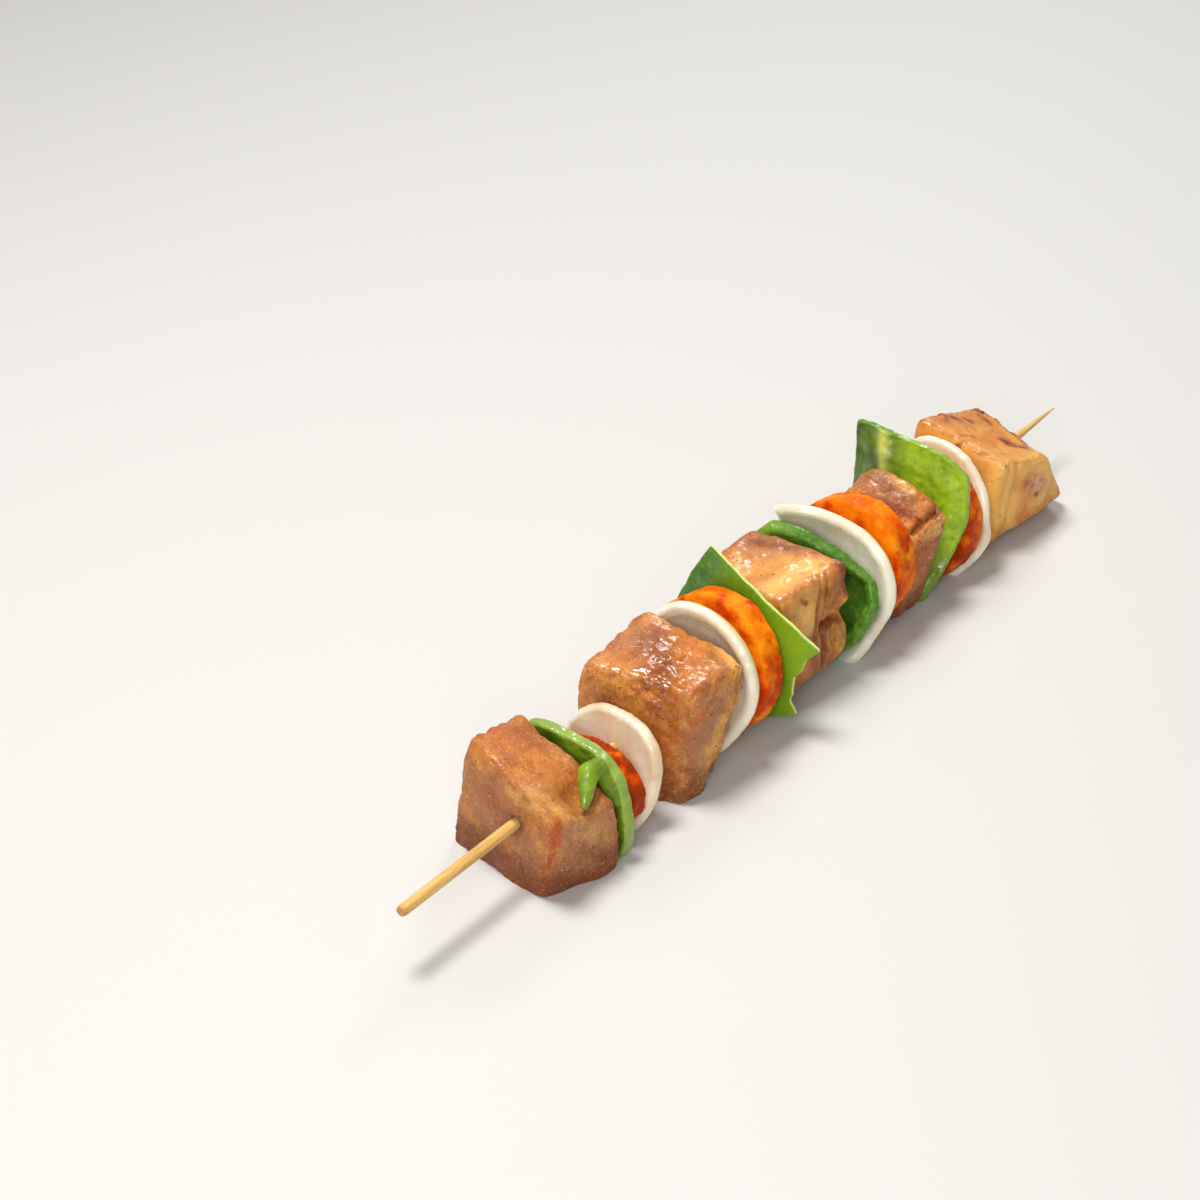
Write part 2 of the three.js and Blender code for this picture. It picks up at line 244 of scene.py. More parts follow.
def noise(points, size, seed=0):
    """Smooth random values from about -1 to 1 at the points, with features about size across."""
    spot = points / size + 31.7 * seed + 7.3
    cell = np.floor(spot).astype(np.int64)
    part = spot - cell
    fade = part**3 * (part * (part * 6 - 15) + 10)
    total = np.zeros(len(points))
    for corner in itertools.product((0, 1), repeat=3):
        key = ((cell + corner) @ np.array((73856093, 19349663, 83492791))) & 0xFFFFFFFF
        key = ((key ^ (key >> 15)) * 2246822519) & 0xFFFFFFFF
        key = ((key ^ (key >> 13)) * 3266489917) & 0xFFFFFFFF
        slope = np.stack([(key >> shift & 255) / 127.5 - 1 for shift in (0, 9, 18)], -1)
        weight = np.prod(np.where(corner, fade, 1 - fade), -1)
        total += weight * np.sum(slope * (part - corner), -1)
    return total * 1.5


def rough(points, size, octaves=3, seed=0):
    """Noise with finer noise on top of it."""
    return sum(noise(points, size / 2**k, seed + k) / 2**k for k in range(octaves))


def drawn_out(points, direction, stretch):
    """The points squeezed along a direction, so that noise on them is drawn out along it."""
    way = np.array(direction, float) / np.linalg.norm(direction)
    return points - np.outer(points @ way, way) * (1 - 1 / stretch)


def lumps(points, wavelength, seed, waves=5):
    """Broad swellings: the sum of waves of that length, in directions spread evenly round."""
    total = np.zeros(len(points))
    for k in range(waves):
        turn, rise = 2.4 * k + seed, 1 - (2 * k + 1) / waves
        flat = math.sqrt(1 - rise * rise)
        along = points @ (math.cos(turn) * flat, math.sin(turn) * flat, rise)
        total += np.sin(math.tau / wavelength * along + 1.7 * seed * (k + 1))
    return total * 1.6 / waves


def smooth(value, low, high):
    share = np.clip((value - low) / (high - low), 0, 1)
    return share * share * (3 - 2 * share)


def stroke(points, ends, width, normals=None):
    """1 on the line between two ends, given as six numbers, falling to about 0 two widths away.

    With normals, the part of the distance that lies straight above or below the surface counts a quarter.
    """
    start, end = np.array(ends, float).reshape(2, 3)
    line = end - start
    share = np.clip((points - start) @ line / max(line @ line, 1e-9), 0, 1)
    gap = points - start - np.outer(share, line)
    if normals is not None:
        height = np.sum(gap * normals, 1, keepdims=True)
        gap = gap - 0.75 * normals * np.clip(height, -STROKE_REACH, STROKE_REACH)
    return np.exp(-((np.linalg.norm(gap, axis=1) / width) ** 2))


def outward(points, quads):
    """Unit normals of a closed mesh of quads, one at each point."""
    corners = points[quads]
    faces = np.cross(corners[:, 2] - corners[:, 0], corners[:, 3] - corners[:, 1])
    total = np.stack([np.bincount(quads.ravel(), np.repeat(faces[:, k], 4), len(points))
                      for k in range(3)], -1)
    return total / np.linalg.norm(total, axis=1, keepdims=True)


def cube_grid(steps):
    """Points on a cube that reaches from -1 to 1, and the quads between them."""
    count = steps + 1
    first, second = np.meshgrid(np.arange(count), np.arange(count), indexing="ij")
    quads = []
    for axis, side in itertools.product(range(3), (0, steps)):
        grid = np.empty((count, count, 3), int)
        grid[..., axis], grid[..., (axis + 1) % 3], grid[..., (axis + 2) % 3] = side, first, second
        key = grid @ np.array((1, count, count * count))
        loop = [key[:-1, :-1], key[1:, :-1], key[1:, 1:], key[:-1, 1:]]
        quads.append(np.stack(loop if side else loop[::-1], -1).reshape(-1, 4))
    keys, index = np.unique(np.concatenate(quads), return_inverse=True)
    spots = np.stack([keys % count, keys // count % count, keys // count**2], -1)
    return spots * 2 / steps - 1, index.reshape(-1, 4)


def mesh_of(name, points_mm, quads, masks):
    mesh = bpy.data.meshes.new(name)
    mesh.from_pydata((points_mm * MM + AXIS).tolist(), [], quads.tolist())
    for mask, values in masks.items():
        flat = np.ascontiguousarray(values, np.float32).ravel()
        kind, key = ("FLOAT", "value") if values.ndim == 1 else ("FLOAT_VECTOR", "vector")
        mesh.attributes.new(mask, kind, "POINT").data.foreach_set(key, flat)
    piece = bpy.data.objects.new(name, mesh)
    bpy.context.collection.objects.link(piece)
    return piece


def cutter():
    """What is taken off every piece: all below the floor, and the hole that the stick makes."""
    bpy.ops.mesh.primitive_cylinder_add(vertices=32, radius=HOLE_DIAMETER / 2 * MM, depth=CUTTER_BOX[0],
                                        rotation=(0, math.pi / 2, 0), location=AXIS)
    hole = bpy.context.object
    bpy.ops.mesh.primitive_cube_add(size=1, scale=CUTTER_BOX, location=(0, 0, -CUTTER_BOX[2] / 2))
    bpy.context.object.select_set(True)
    hole.select_set(True)
    bpy.context.view_layer.objects.active = hole
    bpy.ops.object.join()
    return hole


THREADER = cutter()


def raised(points, quads, lift):
    return points + outward(points, quads) * lift[:, None]


def thread(surface, title, material, replaced, finish):
    """Makes the piece, cuts its seat and its hole, and attaches it to the root body."""
    piece = mesh_of(replaced.replace(finish, title), *surface)
    cut = piece.modifiers.new("thread", "BOOLEAN")
    cut.operation, cut.solver, cut.object = "DIFFERENCE", "MANIFOLD", THREADER
    run_modifiers(piece)
    piece.data.materials.clear()
    piece.data.materials.append(material)
    piece.data.shade_smooth()
    piece.data.set_sharp_from_angle(angle=math.radians(60))
    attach(piece, "root")
    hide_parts(replaced)


# Places are in millimetres from the stick's axis at half its length. front and back are the faces towards
# the blunt end and the point, by their corners: lower right, upper right, lower left, upper left. A dent is
# a place, a width and a depth. A furrow or a stroke of colour is two ends, a width and a depth or strength.
PORK = {
    "pork_1": dict(
        front=[[-91.8, -7.5, -16.5], [-92, -12, 6.5], [-88.5, 20.5, -16], [-90, 12.5, 16.5]],
        back=[[-73.6, -13, -16.5], [-73, -13.5, 1.5], [-73.2, 18, -16], [-72.4, 13, 13]],
        squareness=14, seed=1, grain=(0.2, 0.3, 1), coarse=0.8, wrinkles=0, gold=0.3, wet=0.1,
        dents=[[-81, -9, 5, 5, 2], [-81, -12, -13, 7, -1.8]],
        furrows=[(-91, -11.6, 3, -92, -8.8, -10, 0.8, 0.3), (-90, 15, 3, -91, 9, -9, 1, 0.3),
            (-72, -6, 8, -81.8, -10.2, 4.4, 2.2, 0.8)],
        mauve=[(-81.6, -12.3, -4, -85.5, -11.5, -9, 8, 1.2), (-90, 12, 2, -91, 6, -6, 6, 0.8),
            (-91.5, 0, 0, -91, -5, -10, 6, 0.8), (-80, -12.6, 1, -76, -13, -6, 5, 1.1)],
        # The second glaze stroke and the first two pale strokes run along the top edges: partly a painted
        # highlight on the lit edge.
        glaze=[(-84, 10, 14, -78, -8, 6, 6, 0.7), (-90.5, 3, 8, -91.6, -6, 5, 2.4, 0.4)],
        sear=[(-88.5, 19, -13, -88.5, 18, -11, 3, 0.7), (-88, 13, 12, -88.5, 19, -8, 1, 0.4)],
        pale=[(-91, 0, 8, -88, -10.6, 5.6, 1.8, 0.6), (-88, -11, 5.6, -78, -12, 3.5, 2.4, 0.45),
            (-84, -12, 1, -79, -13, -3, 4.5, 0.3)],
        red=[(-90.6, -11.2, 4.5, -91.2, -11.3, 0.5, 1.6, 0.95), (-91.2, -11, 0, -91.4, -9.4, -6, 1, 0.8),
            (-91.5, -8.8, -8, -91.5, -7.9, -12, 1.1, 0.6)],
        torn=[]),
    "pork_2": dict(
        front=[[-50, -12.5, -16.5], [-47, -14.2, 14.5], [-56.2, 13, -16.5], [-55.2, 13, 14]],
        back=[[-43, -13, -16.5], [-29, -14.5, 12.5], [-35, 12, -16.5], [-30, 13, 17.5]],
        squareness=9, seed=2, grain=(0.3, 0.1, 1), coarse=0.9, wrinkles=0.6, gold=0.42, wet=0.75,
        dents=[[-31, -12, 3, 7, -2], [-50.2, -4.9, 9.6, 2.4, -1.1]],
        furrows=[(-34, -14.5, 9, -36, -14, -3, 1.1, 0.5), (-39, -14, 8, -43, -13.5, -6, 1.2, 0.3)],
        mauve=[(-40.7, -13.5, 9, -46.5, -13.2, -2, 4, 0.9), (-36, 4, 16, -42, 9, 15, 5, 0.9)],
        glaze=[(-50, -6, 11, -36, -1, 14.5, 7, 1), (-49.6, -7.2, 6, -51, -7, -4, 3.4, 0.9)],
        sear=[(-50.2, -4.9, 9.9, -50, -5, 9, 2, 0.6), (-46, -4, 13, -38, 4, 15.6, 5, 0.75),
            (-47, -14, 14, -31, -14, 12, 1.2, 0.35), (-33, -14.4, 10, -38, -13.6, -8, 1.6, 0.45)],
        pale=[(-38, -14, 2, -44, -13, -9, 3.4, 0.5), (-33, -13, 12.4, -28, -3, 13, 1.8, 0.9)],
        red=[(-47.5, -13, 6, -40, -14, 11, 1.2, 0.5)],
        torn=[(-29, -14.5, 11, -42, -13, -15, 2.4, 1)]),
    "pork_3": dict(
        front=[[-11.2, -12, -9], [-9.6, -9, 15], [-11.2, 12, -15], [-9.6, 13, 15]],
        back=[[12.6, -12, -10], [12.6, -12, 15.5], [12.6, 12, -16], [11.6, 15, 15]],
        squareness=16, seed=3, grain=(0.25, 0.1, 1), coarse=0.52, wrinkles=0.1, gold=0.6, wet=0.5,
        dents=[[0, -12, 5, 8, -0.8], [11.6, -13, 2.4, 2.4, 4.6], [9.6, -12.8, 7, 2.2, -2],
            [7.4, -12.2, -4, 2.8, -2.6]],
        furrows=[(3.4, -9.6, 15, 0.4, -12, 8.6, 0.5, 0.9), (0.4, -12, 8.6, 0, -12.8, 1, 0.6, 0.6),
            (5.6, -10, 14.8, 3, -12.6, 5.6, 0.55, 1.1), (2.6, -12.8, 3, 11, -13, 3, 0.9, 2),
            (2.8, -13, 3, 3.4, -13, -9, 0.7, 1.3), (-9, -5, 15, -1, -11, 13.4, 0.6, 0.2)],
        mauve=[(-4, -11.4, 9, -2, -12.2, 0, 3.4, 0.5), (5, 9, 15, 9, 2, 15, 5, 1)],
        glaze=[(7.6, -8, 15, 8, -12, 9, 1.5, 1), (-9, -5, 14.5, -8, -8.6, 13, 1.6, 0.5),
            (2, -12, 9, 1.4, -12.8, 4, 1.4, 0.6)],
        # Besides browning, the strokes at the back of the top, under pepper_3, and the broad ones low on
        # the right face are painted shade.
        sear=[(6.5, 10, 15, 9.6, 1, 15.2, 2.4, 0.8), (0.6, -12.2, 9, 0.4, -12.8, -2, 1.3, 0.7),
            (10.6, -10.4, 13.4, 11, -12.6, 8, 1.5, 1), (9, -12.8, 2.6, 3, -12.8, 2, 2, 1),
            (4.4, -11.4, 12, 3, -12.8, 6, 1, 0.8), (3, -13, 0, 3.2, -13, -10, 1.8, 0.9),
            (7, -12.6, 8, 6, -12.8, 4, 1.6, 0.6), (-4, -11, 12.6, -2.8, -11, 11.6, 1, 0.9),
            (-1.6, -12.4, 1, 1, -13, -9, 3.2, 0.75), (6.4, -12.6, 9, 6, -13, -8, 5, 0.6),
            (10, 11, 15, 11, -2, 15.2, 3.6, 0.6)],
        pale=[(-8, -4, 15.2, 6, -6, 15.4, 3.6, 0.9), (-3, 2, 15.4, 4, 0, 15.4, 3, 0.3),
            (-3, -11.4, 10.6, -4, -12, 0, 4.4, 0.75), (7.6, -12.6, -2, 7.8, -12.6, -6, 2, 0.8),
            (9.4, -12.8, 7, 10, -12.8, 5.6, 1.4, 0.7)],
        red=[],
        torn=[(6, -12.6, 7, 8, -12.6, -8, 3, 0.8)]),
    "pork_4": dict(
        front=[[34.6, -11.5, -14], [38.4, -14, 9], [34.6, 13, -13], [39.8, 10, 14]],
        back=[[45.4, -10.5, -16.5], [53, -14.5, 9.5], [46, 12, -15], [54, 8, 14.5]],
        squareness=7, seed=4, grain=(1, -0.4, -0.6), coarse=1.4, wrinkles=0.12, gold=0.3, wet=0.4,
        dents=[[46, -13.6, 7, 3, -1.4], [47, -2, 15, 8, -2.5]],
        furrows=[(39.6, -11, 9.6, 51.5, -11.4, 10.4, 1, 1.8), (41, -13, 5, 49, -13.2, 5.4, 0.8, 0.6),
            (41, 3, 14, 50, -4, 13.5, 1, 0.4)],
        mauve=[(45, -7, 12.4, 48, 4.7, 14.4, 5, 1)],
        # The glaze and sear strokes low on the right face, from (44, -12, 1) down, are partly painted
        # shade.
        glaze=[(39, 9, 13, 40.5, 2, 13, 2.4, 0.8), (47, -9.6, 11.2, 52, -5, 12, 2, 0.9),
            (44, -12, 1, 46, -12, -9, 4, 0.6)],
        sear=[(40, 2, 13.4, 43.4, -8, 11, 2, 0.8), (40, -11, 9.4, 51, -11.4, 10.2, 1.3, 0.9),
            (47.5, 5, 14, 46, -5, 12.6, 3.6, 0.55), (44, -12, 0, 46, -12, -8, 4, 0.5)],
        pale=[(42, -13.4, 7.8, 52, -13.8, 8.4, 1.5, 0.6), (38.4, 7, 13.4, 39.4, 0, 13, 1.2, 0.5),
            (50.4, 1, 14, 49.4, -4, 12.8, 1.8, 0.85)],
        red=[(41, -12.6, 3, 44, -11.6, -10, 3.2, 0.8), (41, -5, 12, 43.6, -9.4, 11, 1.9, 0.9)],
        torn=[(41, -13, 6.6, 51, -13.4, 7.4, 1.6, 0.8)]),
    "pork_5": dict(
        front=[[73.6, -12, -13], [76.9, -14, 10.5], [71.4, 14, -16.5], [76.9, 12, 15.5]],
        back=[[106.6, -15, -11.5], [97.5, -15, 3.5], [111, 13, -16.5], [103, 10, 7.5]],
        squareness=12, seed=5, grain=(0.5, 0.1, 1), coarse=0.35, wrinkles=0.1, gold=1.05, wet=0.45,
        dents=[[87.6, 7.2, 12.4, 1.5, 0.9], [91.6, -6.3, 7.5, 1.3, 0.7], [82, 3, 12.6, 2.4, 0.5]],
        furrows=[(83.4, -13.6, 8, 80.4, -13.6, -9, 0.9, 0.55), (79.6, -13.2, 9, 77.6, -13, -4, 0.7, 0.4),
            (89, -14.2, -3, 86, -14.2, -11, 0.9, 0.35), (79, -12.4, 10.2, 76, -6, 11, 0.8, 0.3)],
        mauve=[(78, -12.7, -9, 84, -13, -12, 2.6, 0.5), (76.8, -6, 9, 77, -11, 4, 2.6, 0.5),
            (84, 4, 12, 96, 2, 8, 2.4, 0.5)],
        glaze=[(80, 9, 14, 97, 5, 9.4, 5, 0.9), (84, -4, 9.6, 95, -1, 8.6, 3, 0.8),
            (88, -14.2, 1, 94, -14.6, -3, 2.8, 1.4), (88, -14.4, -9, 98, -14.6, -9, 2.4, 0.5)],
        sear=[(87.2, 7.5, 11.8, 87.7, 6.6, 11.6, 1.8, 1), (90.6, 5.7, 10.2, 90.9, 5.2, 10, 1.5, 0.8),
            (91.4, -4.8, 7.5, 92.4, -6.8, 7, 1.9, 1), (93.2, -8.4, 6.2, 93.6, -9.2, 6, 1.4, 0.95),
            (77.3, -0.1, 10.6, 77.6, -0.4, 10.6, 0.9, 1), (83, 7, 13, 87, 9.4, 12, 1.2, 0.65),
            (96.4, 2, 8, 97.4, 6, 8.2, 1.3, 0.7), (94, -9, 5.4, 96, -8.4, 5, 1, 0.8),
            (80, 1, 12, 83, -1, 11, 1, 0.55), (99, 9.4, 8.4, 102, 7, 7, 1.6, 0.9),
            (101, 4, 6, 97, -8, 5, 1.2, 0.7), (82.4, 11, 13, 90, 10, 11, 1.6, 0.7),
            (87.4, -14, 0.7, 88.6, -14.1, 0.2, 1, 0.8), (92, -14.5, -4.4, 92.6, -14.5, -4.8, 0.8, 0.9),
            (89.6, -14.4, -1.2, 90.2, -14.4, -1.5, 0.7, 0.8), (93.4, -14.6, -1, 94, -14.6, -1.3, 0.6, 0.8)],
        pale=[(80, -12.8, 8.4, 78, -12.8, -4, 3.4, 0.95), (86, -13.8, 5.6, 100, -14.8, 1.4, 3.4, 1.2),
            (97, -14.6, -1, 93, -14.4, -8, 3, 1.1), (101, -14.4, -7.5, 103.5, -14.6, -4, 2, 0.8),
            (83, -13.4, -2, 82, -13.2, -11, 2.8, 0.9)],
        red=[(102.4, 7, 7, 100.6, -2.4, 5.2, 1.8, 1.1)],
        torn=[(101, 9, 8, 99, -4, 5, 1.6, 0.6)]),
}


def painted(points, normals, strokes, blot):
    """A mask laid on in soft strokes, made uneven by the blots."""
    mask = np.zeros(len(points))
    for *ends, width, amount in strokes:
        mask = np.maximum(mask, amount * stroke(points, ends, width * (1 + 0.3 * blot), normals))
    return mask


def pork_cube(front, back, squareness, seed, grain, coarse, wrinkles, gold, wet, dents, furrows, torn,
              **strokes):
    """A cube's points, its quads and the masks that its material reads."""
    spots, quads = cube_grid(CUBE_STEPS)
    size = np.sum(np.abs(spots) ** squareness, 1) ** (1 / squareness)
    spots = spots / size[:, None]
    away = spots / np.linalg.norm(spots, axis=1, keepdims=True)
    back_share, left, up = ((spots + 1) / 2).T[..., None]
    front, back = np.array(front, float), np.array(back, float)
    corners = front[:, None] + (back - front)[:, None] * back_share
    right_edge = corners[0] + (corners[1] - corners[0]) * up
    left_edge = corners[2] + (corners[3] - corners[2]) * up
    points = right_edge + (left_edge - right_edge) * left
    for x, y, z, width, deep in dents:
        points -= away * deep * stroke(points, (x, y, z) * 2, width)[:, None]
    lumpy = 0.45 + 0.55 * min(coarse, 1)
    points = points + away * lumpy * sum(h * lumps(points, length, seed) for h, length in LUMPS)[:, None]

    edge = smooth(np.sort(np.abs(spots), 1)[:, 1], 0.72, 0.99)
    normals = outward(points, quads)
    top = smooth(normals[:, 2], 0.25, 0.8)
    blot = np.clip(rough(points, 4.5, 3, seed + 20), -1, 1)
    masks = {name: painted(points, normals, laid, blot) for name, laid in strokes.items()}

    # The faces towards the point and to the left have blots of the same kinds at random, and two splits.
    unseen = smooth(np.maximum(normals[:, 0], normals[:, 1]), 0.3, 0.8)
    for index, name in enumerate(masks):
        blots = unseen * smooth(rough(points, 8, 3, seed + 40 + index), 0.1, 0.8)
        masks[name] = np.maximum(masks[name], blots * (0.5 if name == "red" else 0.9))
    tops, feet = [[front[k] + share * (back[k] - front[k]) for share in (0.3, 0.5, 0.7)] for k in (3, 2)]
    middle = (tops[1] + feet[1]) / 2
    torn = [*torn, (*tops[1], *feet[1], 2.6, 0.35)]
    furrows = [*furrows, (*tops[0], *feet[0], 1.1, 0.9), (*tops[2], *middle, 1.0, 0.7)]
    masks["glaze"] = np.maximum(masks["glaze"], 0.3 * top)
    seared_edge = 0.5 * edge * (0.2 + 0.6 * top) * (1 + 0.5 * blot)
    # Darker towards the foot: partly searing from the grill, partly painted shade on the lower faces.
    seared_and_shaded_foot = (1.1 - 0.75 * gold) * smooth(points[:, 2] + 2 * blot, -1, -12)
    masks["sear"] = np.maximum(masks["sear"], np.maximum(seared_edge, seared_and_shaded_foot))
    masks["gold"] = np.clip(gold + 0.3 * rough(points, 9, 3, seed + 21), 0, 1)
    masks["wet"] = 0.22 + wet * (0.1 + 0.7 * np.maximum(masks["glaze"], 0.6 * top))
    masks["coarse"] = np.full(len(points), coarse)

    # Bundles of muscle, with a fine crease where two of them meet, and pores. Glaze lies on them in folds.
    flow = drawn_out(points, grain, 4) + 0.5 * noise(points, 6, seed + 3)[:, None]
    patchy = smooth(noise(points, 9, seed + 6), -0.1, 0.5)
    crease = np.exp(-((noise(flow, 2.6, seed + 5) / 0.07) ** 2)) * patchy
    glazed = np.clip(masks["glaze"], 0, 1)
    lift = coarse * (0.16 * rough(points, BUNDLE, 2, seed + 8) - 0.08 * crease)
    lift += coarse * (1 - 0.8 * glazed) * (
        0.08 * noise(flow, STRAND, seed + 7) + 0.05 * rough(points, PORE, 2, seed + 9)
        + 0.06 * noise(drawn_out(points, grain, 3), FIBRE, seed + 10))
    lift += 0.09 * wet * top * (1 - glazed) * noise(points, PORE, seed + 15)
    swell = noise(points, BUNDLE, seed + 11) + 0.3 * noise(points, 1.9, seed + 12)
    lift += wrinkles * masks["glaze"] * (1.5 * np.abs(swell) - 0.5)
    lift += (0.15 + 0.25 * coarse) * edge * rough(points, 2.6, 2, seed + 13)
    ragged = rough(drawn_out(points, grain, 2), 2.2, 3, seed + 14) - 0.3
    lift += painted(points, normals, torn, blot) * ragged
    for *ends, width, deep in furrows:
        wander = points + 0.7 * np.stack([noise(points, 3, seed + 30 + k) for k in range(3)], -1)
        cut = stroke(wander, ends, width, normals)
        lift -= deep * cut
        crease = np.maximum(0.35 * crease, cut * min(1, deep * 1.5))
    pucker = stroke(points, (-STICK_LENGTH, 0, 0, STICK_LENGTH, 0, 0), HOLE_DIAMETER)
    lift -= 1.1 * pucker  # the meat is drawn in round the stick
    points = raised(points, quads, lift)
    # Creases, furrows and the ring round the stick darken the colour: partly the meat's own lines, partly
    # painted shade in the hollows.
    masks["crease"] = np.maximum(crease, pucker)
    masks["grain"] = drawn_out(points, grain, 4)
    return points, quads, masks


def shader_group(name, inputs, outputs):
    tree = bpy.data.node_groups.new(name, "ShaderNodeTree")
    named_sockets(tree, inputs, outputs)
    return tree, tree.nodes.new("NodeGroupInput").outputs, tree.nodes.new("NodeGroupOutput").inputs


# Patches: a second colour shows in blots where the mask is high.
patches, given, result = shader_group("Patches", [
    ("Color", "Color"), ("Patch", "Color"), ("Mask", "Float"), ("Place", "Vector"), ("Size", "Float", 2.0),
    ("Softness", "Float", 0.7)], [("Color", "Color")])
blots = cloud(given["Place"], given["Size"], detail=5, roughness=0.62)
reach = swayed(given["Mask"], blots, 1.1)
half = times(given["Softness"], 0.5)
amount = between(reach, maths("SUBTRACT", 0.5, half), maths("ADD", 0.5, half))
amount = times(amount, between(given["Mask"], 0.0, 0.25))
patches.links.new(blended(amount, given["Color"], given["Patch"]), result["Color"])

# Juice: where the film is thick it is smooth and bright, and between its patches the surface is dull.
juice, given, result = shader_group("Juice", [
    ("Place", "Vector"), ("Size", "Float", 3.0), ("Wetness", "Float", 0.5)],
    [("Coat Weight", "Float"), ("Roughness", "Float")])
film = cloud(given["Place"], given["Size"], roughness=0.5)
wet = swayed(given["Wetness"], film, 1.4)
juice.links.new(between(wet, 0.3, 0.9), result["Coat Weight"])
juice.links.new(between(wet, 0.1, 0.9, 0.54, 0.28), result["Roughness"])


def use(group, **inputs):
    """Places a shader group in a material and gives back its outputs."""
    return node("ShaderNodeGroup", inputs, node_tree=group)


def moistened(tree, sockets, spot, colour, size, wetness):
    """Joins up a moist food's colour and its juice, and gives back where the juice lies."""
    film = use(juice, Place=spot, Size=size, Wetness=wetness)
    for name in ("Coat Weight", "Roughness"):
        tree.links.new(film[name], sockets[name])
    tree.links.new(colour, sockets["Base Color"])
    return film["Coat Weight"]


def mask_of(tree, name, output="Fac"):
    return node("ShaderNodeAttribute", {}, tree, attribute_name=name)[output]


pork, tree, sockets, spot = moist_material(
    "Grilled pork", IOR=1.38, Subsurface_Weight=0.12, Subsurface_Radius=(1.0, 0.35, 0.12),
    Subsurface_Scale=0.0016, Coat_Roughness=0.12)
along_grain = mask_of(tree, "grain", "Vector")
coarse = mask_of(tree, "coarse")
threads = cloud(along_grain, 0.8, detail=3, roughness=0.6)
tan = swayed(mask_of(tree, "gold"), cloud(spot, 5.5, detail=4), 1.6)
meat = blended(between(tan, 0.0, 1.0), (164, 88, 42), (236, 162, 68))
MARBLING = (  # pattern, where it starts and is full, its strength and its colour
    (cloud(spot, 2.3, detail=5), 0.5, 0.68, 0.5, (150, 82, 42)),
    (threads, 0.5, 0.7, 0.18, (238, 178, 100)),
    (cloud(spot, 0.8, detail=3), 0.56, 0.72, 0.25, (248, 198, 132)),
    (cloud(spot, 5, detail=5), 0.5, 0.66, 0.6, (178, 114, 80)),
    (cloud(along_grain, 1.2, detail=4), 0.56, 0.72, 0.15, (132, 70, 36)),
)
for pattern, start, full, strength, colour in MARBLING:
    seen = times(between(pattern, start, full, 0.0, strength), between(coarse, 0.2, 0.8, 0.4, 1.0))
    meat = blended(seen, meat, colour)
COATS = {  # mask: the colour, the size of its blots, how softly they end, and its strength
    "mauve": ((174, 118, 80), 3.5, 1.0, 0.65),
    "pale": ((248, 196, 104), 2.5, 1.0, 0.8),
    "glaze": ((206, 112, 30), 2.5, 1.0, 0.65),
    "red": ((182, 66, 14), 0.9, 0.9, 0.8),
    # Browning from the grill, and painted shade low on the cubes and under pepper_3.
    "sear": ((122, 54, 12), 1.4, 0.9, 0.85),
}
for mask, (colour, size, softness, strength) in COATS.items():
    coated = use(patches, Color=meat, Patch=linear(colour), Mask=mask_of(tree, mask), Place=spot,
                 Size=size, Softness=softness)
    meat = blended(strength, meat, coated["Color"])
# Painted shade in the creases, furrows and round the stick, together with the meat's own darker lines.
meat = blended(times(mask_of(tree, "crease"), 0.72), meat, (96, 42, 16))
grit = cloud(spot, 0.6, detail=4, roughness=0.7)
gritty = between(coarse, 0.4, 0.9, 0.1, 1.0)
for low, high, colour in ((0.54, 0.72, (112, 56, 24)), (0.46, 0.3, (246, 200, 142))):
    meat = blended(times(between(grit, low, high, 0.0, 0.5), gritty), meat, colour)
sheen = moistened(tree, sockets, spot, meat, 2.6, mask_of(tree, "wet"))
pores = cloud(spot, 0.45, detail=3, roughness=0.6)
relief = maths("ADD", times(threads, 0.4), pores)
dry = times(maths("MULTIPLY_ADD", sheen, -0.6, 1.0), between(coarse, 0.0, 0.8, 0.5, 1.0))
bumped(tree, sockets, times(relief, dry), 0.17, 0.9)

surfaces = []
for name, cube in PORK.items():
    surface = pork_cube(**cube)
    surfaces.append(surface[:2])
    thread(surface, "pork_cube", pork, name, "pork")


# ---- pieces of green pepper
# Four squares cut from the wall of a green pepper, 3 to 4 mm thick: waxy dark skin outside, pale wet flesh
# inside and along the cuts. The stick goes through the wall. The first has a prong that folds forward.
SLAB_STEPS = 92
ROW_STEP = 0.38  # between the rows of points round a slab's rim


def slab_grid(steps, rows):
    """A closed slab as a disc: each point's reach, angle and step from the front face to the back."""
    line = np.linspace(-1, 1, steps + 1)
    first, second = np.meshgrid(line, line, indexing="ij")
    across, upward = first * np.sqrt(1 - second**2 / 2), second * np.sqrt(1 - first**2 / 2)
    reach, angle = np.hypot(across, upward).ravel(), np.arctan2(upward, across).ravel()
    key = np.arange((steps + 1) ** 2).reshape(steps + 1, -1)
    quads = np.stack([key[:-1, :-1], key[1:, :-1], key[1:, 1:], key[:-1, 1:]], -1).reshape(-1, 4)
    loop = np.concatenate([key[:-1, 0], key[-1, :-1], key[:0:-1, -1], key[0, :0:-1]])
    count, around = key.size, len(loop)
    bands = [loop] + [2 * count + around * i + np.arange(around) for i in range(rows - 1)] + [loop + count]
    rim = [np.stack([low, np.roll(low, -1), np.roll(high, -1), high], -1)
           for low, high in zip(bands, bands[1:])]
    quads = np.concatenate([quads[:, ::-1], quads + count, *rim])
    reach = np.concatenate([reach, reach, np.ones(around * (rows - 1))])
    angle = np.concatenate([angle, angle, np.tile(angle[loop], rows - 1)])
    step = np.concatenate([np.zeros(count), np.full(count, rows), np.repeat(np.arange(1, rows), around)])
    return reach, angle, step, quads


